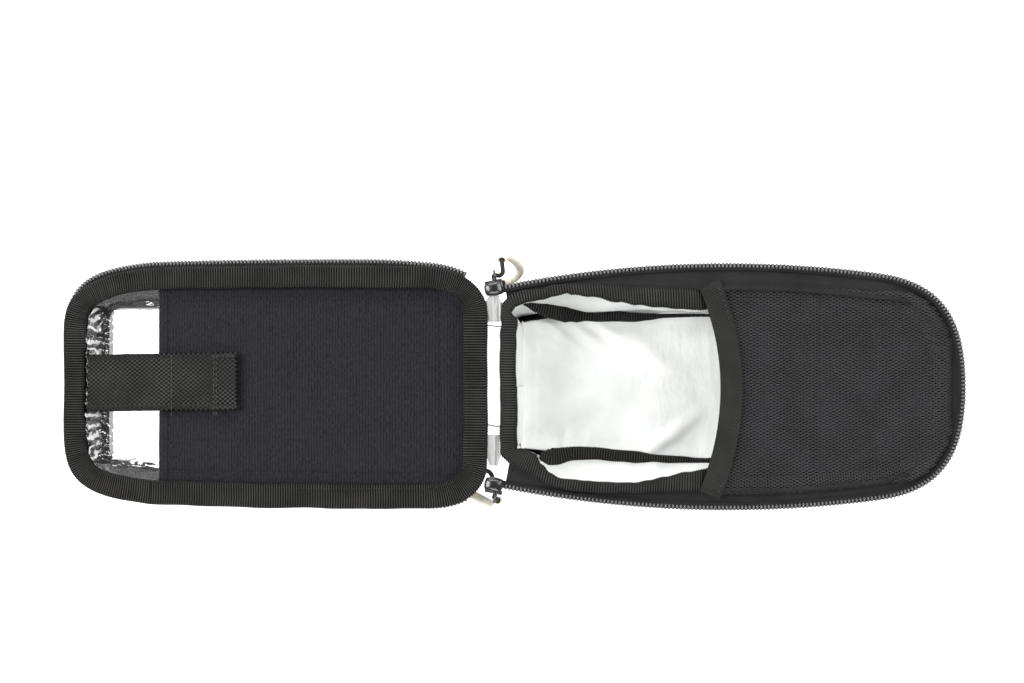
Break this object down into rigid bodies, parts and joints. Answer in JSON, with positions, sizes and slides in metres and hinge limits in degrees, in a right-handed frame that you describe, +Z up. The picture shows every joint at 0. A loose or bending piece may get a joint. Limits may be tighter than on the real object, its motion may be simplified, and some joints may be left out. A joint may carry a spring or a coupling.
{
  "type": "tank bag",
  "caption": "Small soft motorcycle tank bag lying open: hinged lid with a clear phone window, velour phone pocket and strap; zipped padded body with a satin lining and a mesh pocket.",
  "frame": {"origin": "middle of the body's flat underside, on the surface that the bag lies on", "axes": "+X from the lid hinge towards the body's round end, +Y to the left side, +Z up"},
  "size_m": [0.3628, 0.1047, 0.05],
  "materials": {
    "outer_fabric": "plain black woven fabric, matt",
    "grosgrain": "black ribbed binding tape",
    "zip_tape": "black woven zip tape",
    "zip_teeth": "black nylon coil",
    "satin_lining": "light grey satin with a soft sheen",
    "foam": "closed-cell foam",
    "board": "semi-rigid plastic board",
    "magnet": "nickel-plated disc",
    "mesh_fabric": "black knitted mesh",
    "velour": "navy-black loop velour, fine ribs",
    "webbing": "black woven webbing",
    "hook_tape": "black hook tape",
    "clear_film": "clear soft vinyl, glossy",
    "black_metal": "black enamel, satin",
    "cord": "black braided cord",
    "sleeve": "cream rubber sleeve, matt"
  },
  "bodies": {
    "body": {"base_panel": "outer_fabric", "base_foam": "foam", "magnet_front_left": "magnet", "magnet_front_right": "magnet", "magnet_rear_left": "magnet", "magnet_rear_right": "magnet", "stiffener_board": "board", "lining_floor": "satin_lining", "side_band": "outer_fabric", "wall_foam": "foam", "lining_wall": "satin_lining", "rim_binding": "grosgrain", "seam_binding_left": "grosgrain", "seam_binding_right": "grosgrain", "zip_tape": "zip_tape", "zip_teeth": "zip_teeth", "pocket_backing": "outer_fabric", "mesh_pocket": "mesh_fabric", "mesh_pocket_band": "grosgrain", "hinge_tab_left": "satin_lining", "hinge_tab_right": "satin_lining"},
    "lid": {"lid_panel": "outer_fabric", "window_film": "clear_film", "lid_side_band": "outer_fabric", "lid_binding": "grosgrain", "lid_zip_tape": "zip_tape", "lid_zip_teeth": "zip_teeth", "phone_pocket": "velour"},
    "strap": {"phone_strap": "webbing", "hook_patch": "hook_tape"},
    "slider_left": {"slider_left": "black_metal", "slider_eye_left": "black_metal"},
    "slider_right": {"slider_right": "black_metal", "slider_eye_right": "black_metal"},
    "pull_left": {"pull_cord_left": "cord", "pull_sleeve_left": "sleeve"},
    "pull_right": {"pull_cord_right": "cord", "pull_sleeve_right": "sleeve"}
  },
  "joints": [
    {"name": "lid_hinge", "type": "hinge", "parent": "body", "child": "lid", "pos_m": [-0.0911, 0, 0.0505], "axis": [0, 1, 0], "range_deg": [0, 191.69], "deforming": ["hinge_tab_left", "hinge_tab_right"]},
    {"name": "strap_flap", "type": "hinge", "parent": "lid", "child": "strap", "pos_m": [-0.25737, 0.0005, 0.01359], "axis": [0, 1, 0], "range_deg": [-95, 0]},
    {"name": "slider_left_travel", "type": "hinge", "parent": "body", "child": "slider_left", "pos_m": [0.00112, -0.40663, 0.0465], "axis": [0, 0, -1], "range_deg": [0, 18.53]},
    {"name": "slider_right_travel", "type": "hinge", "parent": "body", "child": "slider_right", "pos_m": [0.00112, 0.40663, 0.0465], "axis": [0, 0, 1], "range_deg": [0, 18.53]},
    {"name": "pull_left_swing", "type": "hinge", "parent": "slider_left", "child": "pull_left", "pos_m": [-0.09042, 0.04384, 0.0465], "axis": [-0.98, -0.1991, 0], "range_deg": [-60, 0]},
    {"name": "pull_right_swing", "type": "hinge", "parent": "slider_right", "child": "pull_right", "pos_m": [-0.09042, -0.04384, 0.0465], "axis": [0.98, -0.1991, 0], "range_deg": [-60, 0]}
  ]
}
